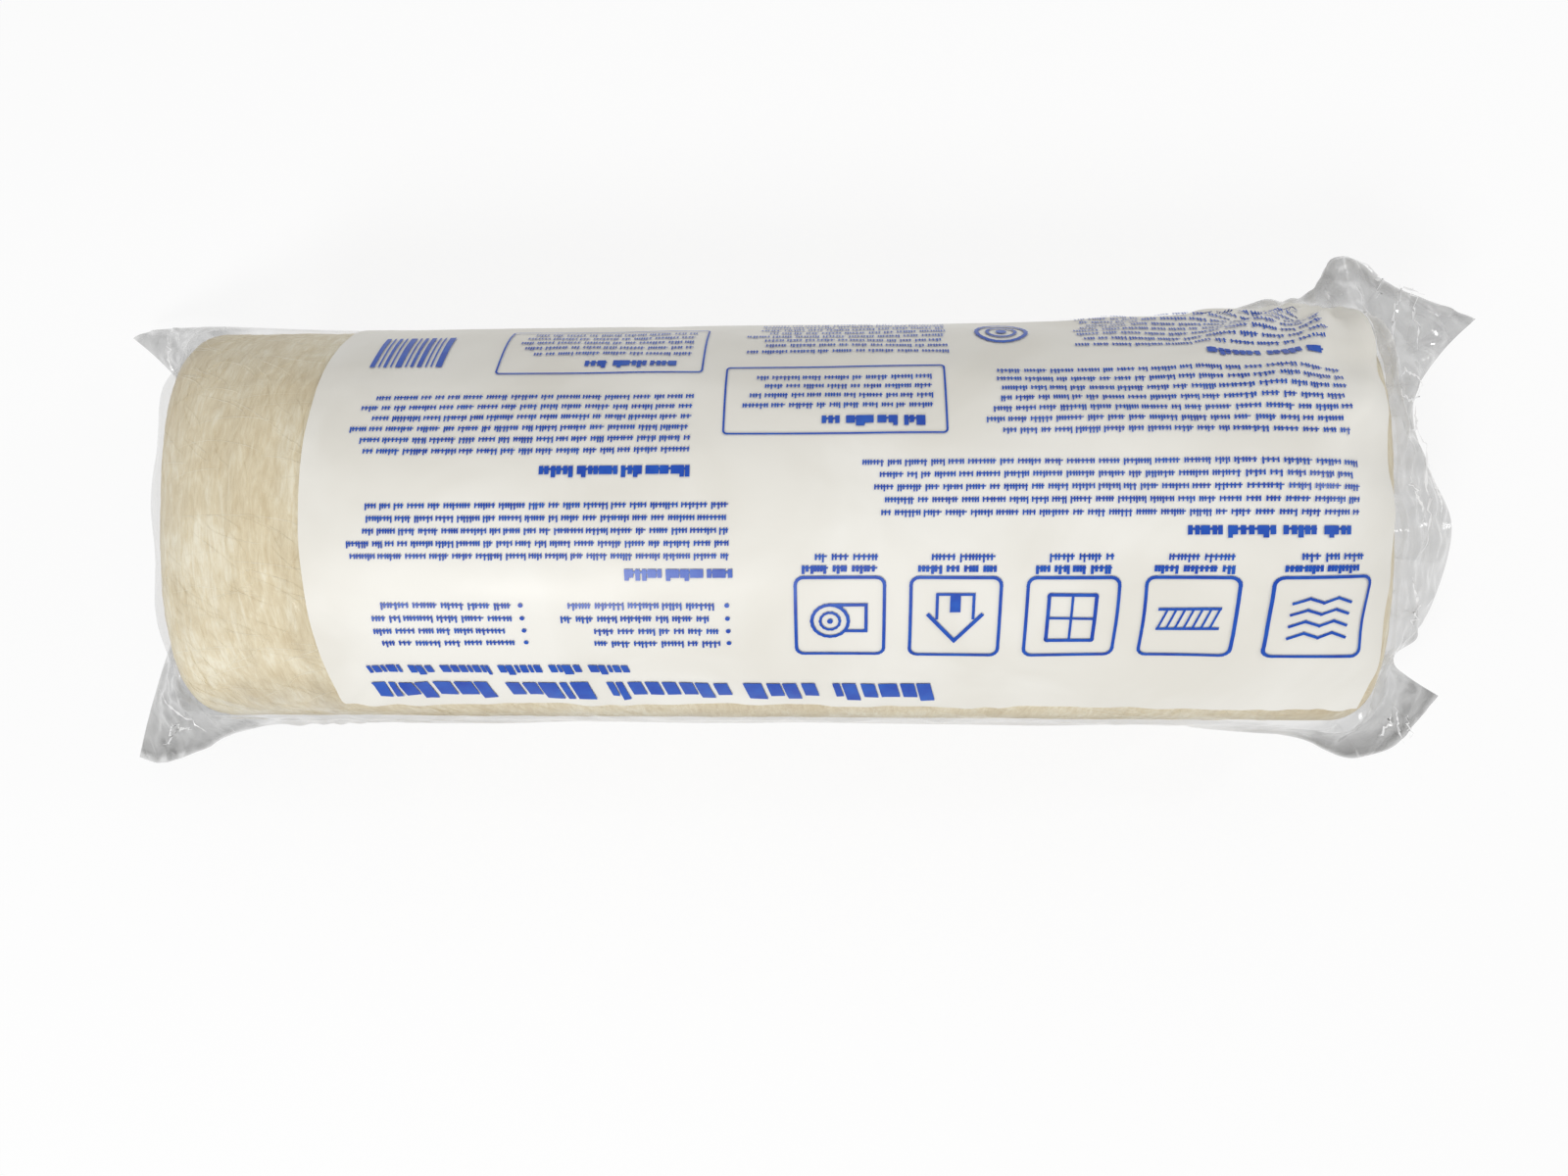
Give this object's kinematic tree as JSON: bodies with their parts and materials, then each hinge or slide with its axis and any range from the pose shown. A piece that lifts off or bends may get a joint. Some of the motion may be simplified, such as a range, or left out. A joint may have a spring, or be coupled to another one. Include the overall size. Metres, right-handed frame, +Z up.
{
  "type": "insulation roll",
  "caption": "Short roll of soft glass wool blanket in a clear film bag, with a heat-sealed flap across each end and a white printed panel over the top.",
  "frame": {"origin": "on the floor under the middle of the roll, at the flat strip that it rests on", "axes": "+X along the roll towards the end with the taller flap, +Z up"},
  "size_m": [0.5085, 0.1774, 0.1359],
  "materials": {
    "glass_wool": "soft pale yellow fibres, matt with a faint silky sheen",
    "clear_film": null
  },
  "bodies": {
    "root": {"glass_wool_roll": "glass_wool", "film_bag": "clear_film"}
  },
  "joints": []
}
